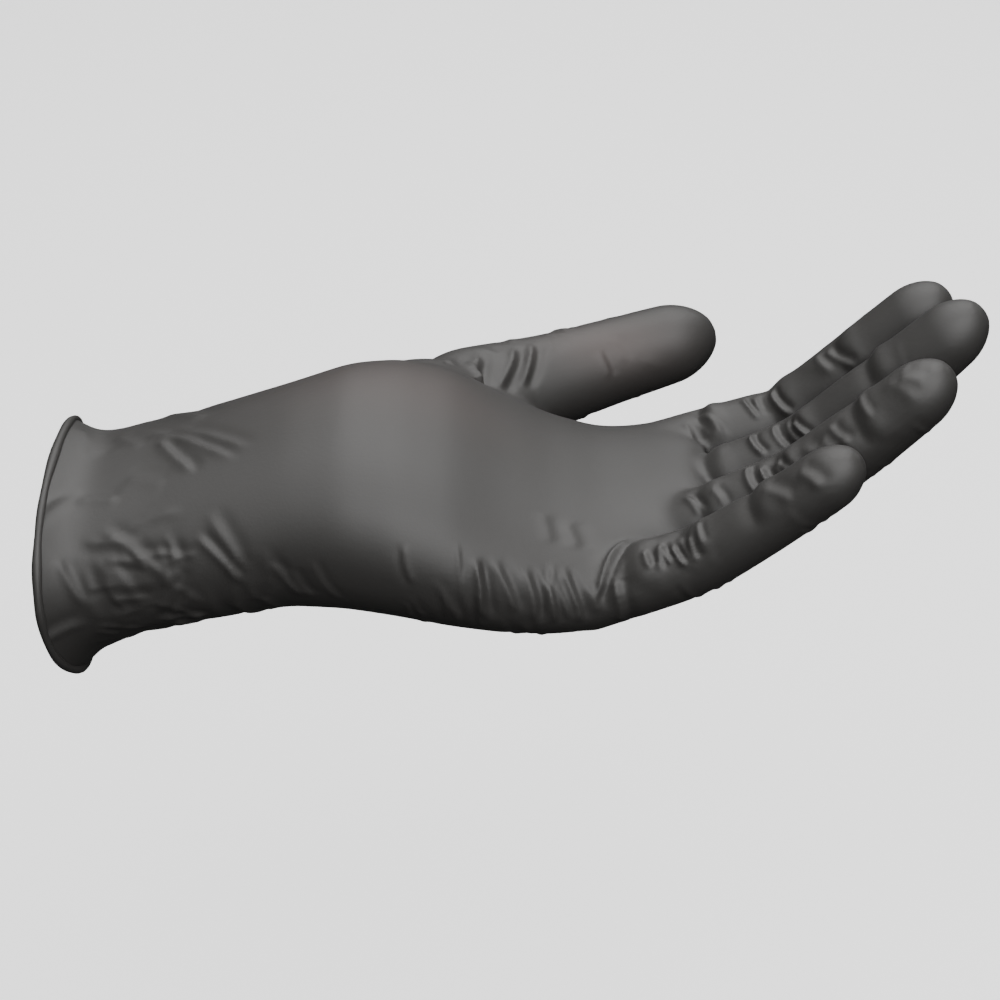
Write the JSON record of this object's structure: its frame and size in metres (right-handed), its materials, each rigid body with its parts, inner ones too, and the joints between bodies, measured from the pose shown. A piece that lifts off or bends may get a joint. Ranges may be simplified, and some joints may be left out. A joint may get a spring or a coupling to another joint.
{
  "type": "disposable glove",
  "caption": "Thin film disposable glove in its worn shape, open at a rolled cuff, that bends at the wrist, thumb and finger joints.",
  "frame": {"origin": "centre of the cuff opening, in the plane of its rolled edge", "axes": "+X from the cuff opening towards the finger tips, +Z out of the palm side, +Y towards the thumb side"},
  "size_m": [0.2192, 0.1148, 0.0887],
  "materials": {
    "film": "black satin nitrile film, lightly textured",
    "rolled_edge": "black satin nitrile, rolled up on itself"
  },
  "bodies": {
    "cuff": {"cuff": "film", "rolled_bead": "rolled_edge"},
    "wrist": {"wrist": "film"},
    "palm": {"palm": "film"},
    "index_proximal": {"index_proximal": "film"},
    "index_middle": {"index_middle": "film"},
    "index_distal": {"index_distal": "film"},
    "middle_proximal": {"middle_proximal": "film"},
    "middle_middle": {"middle_middle": "film"},
    "middle_distal": {"middle_distal": "film"},
    "ring_proximal": {"ring_proximal": "film"},
    "ring_middle": {"ring_middle": "film"},
    "ring_distal": {"ring_distal": "film"},
    "little_proximal": {"little_proximal": "film"},
    "little_middle": {"little_middle": "film"},
    "little_distal": {"little_distal": "film"},
    "thumb_proximal": {"thumb_proximal": "film"},
    "thumb_distal": {"thumb_distal": "film"}
  },
  "joints": [
    {"name": "wrist_deviation", "type": "hinge", "parent": "cuff", "child": "wrist", "pos_m": [0.0346, 0, 0.00992], "axis": [-0.2756, 0, 0.9613], "range_deg": [-15, 15]},
    {"name": "wrist_flexion", "type": "hinge", "parent": "wrist", "child": "palm", "pos_m": [0.0548, 0, 0.0157], "axis": [0, -1, 0], "range_deg": [-20, 50]},
    {"name": "index_knuckle", "type": "hinge", "parent": "palm", "child": "index_proximal", "pos_m": [0.155, 0.03, 0.0095], "axis": [0.0523, -0.9986, 0], "range_deg": [-18, 50]},
    {"name": "index_middle_joint", "type": "hinge", "parent": "index_proximal", "child": "index_middle", "pos_m": [0.17247, 0.03092, 0.01552], "axis": [0.0523, -0.9986, 0], "range_deg": [-24, 50]},
    {"name": "index_tip_joint", "type": "hinge", "parent": "index_middle", "child": "index_distal", "pos_m": [0.18863, 0.03176, 0.03115], "axis": [0.0523, -0.9986, 0], "range_deg": [-14, 29]},
    {"name": "middle_knuckle", "type": "hinge", "parent": "palm", "child": "middle_proximal", "pos_m": [0.1555, 0.01, 0.0115], "axis": [0, -1, 0], "range_deg": [-28, 46]},
    {"name": "middle_middle_joint", "type": "hinge", "parent": "middle_proximal", "child": "middle_middle", "pos_m": [0.17473, 0.01, 0.0226], "axis": [0, -1, 0], "range_deg": [-14, 56]},
    {"name": "middle_tip_joint", "type": "hinge", "parent": "middle_middle", "child": "middle_distal", "pos_m": [0.19254, 0.01, 0.04042], "axis": [0, -1, 0], "range_deg": [-8, 31]},
    {"name": "ring_knuckle", "type": "hinge", "parent": "palm", "child": "ring_proximal", "pos_m": [0.1525, -0.0095, 0.0165], "axis": [-0.0262, -0.9997, 0], "range_deg": [-28, 46]},
    {"name": "ring_middle_joint", "type": "hinge", "parent": "ring_proximal", "child": "ring_middle", "pos_m": [0.17068, -0.00998, 0.027], "axis": [-0.0262, -0.9997, 0], "range_deg": [-13, 56]},
    {"name": "ring_tip_joint", "type": "hinge", "parent": "ring_middle", "child": "ring_distal", "pos_m": [0.187, -0.0104, 0.04277], "axis": [-0.0262, -0.9997, 0], "range_deg": [-8, 31]},
    {"name": "little_knuckle", "type": "hinge", "parent": "palm", "child": "little_proximal", "pos_m": [0.1345, -0.028, 0.014], "axis": [-0.1045, -0.9945, 0], "range_deg": [-22, 50]},
    {"name": "little_middle_joint", "type": "hinge", "parent": "little_proximal", "child": "little_middle", "pos_m": [0.14722, -0.02934, 0.01969], "axis": [-0.1045, -0.9945, 0], "range_deg": [-16, 52]},
    {"name": "little_tip_joint", "type": "hinge", "parent": "little_middle", "child": "little_distal", "pos_m": [0.16201, -0.03089, 0.03262], "axis": [-0.1045, -0.9945, 0], "range_deg": [-9, 29]},
    {"name": "thumb_knuckle", "type": "hinge", "parent": "palm", "child": "thumb_proximal", "pos_m": [0.10745, 0.04814, 0.01197], "axis": [-0.28, 0.4784, 0.8323], "range_deg": [-22, 12]},
    {"name": "thumb_tip_joint", "type": "hinge", "parent": "thumb_proximal", "child": "thumb_distal", "pos_m": [0.13079, 0.0582, 0.01404], "axis": [-0.28, 0.4784, 0.8323], "range_deg": [-40, 10]}
  ],
  "couplings": [
    {"joint": "index_tip_joint", "follows": "index_middle_joint", "ratio": 0.55},
    {"joint": "middle_tip_joint", "follows": "middle_middle_joint", "ratio": 0.55},
    {"joint": "ring_tip_joint", "follows": "ring_middle_joint", "ratio": 0.55},
    {"joint": "little_tip_joint", "follows": "little_middle_joint", "ratio": 0.55}
  ]
}
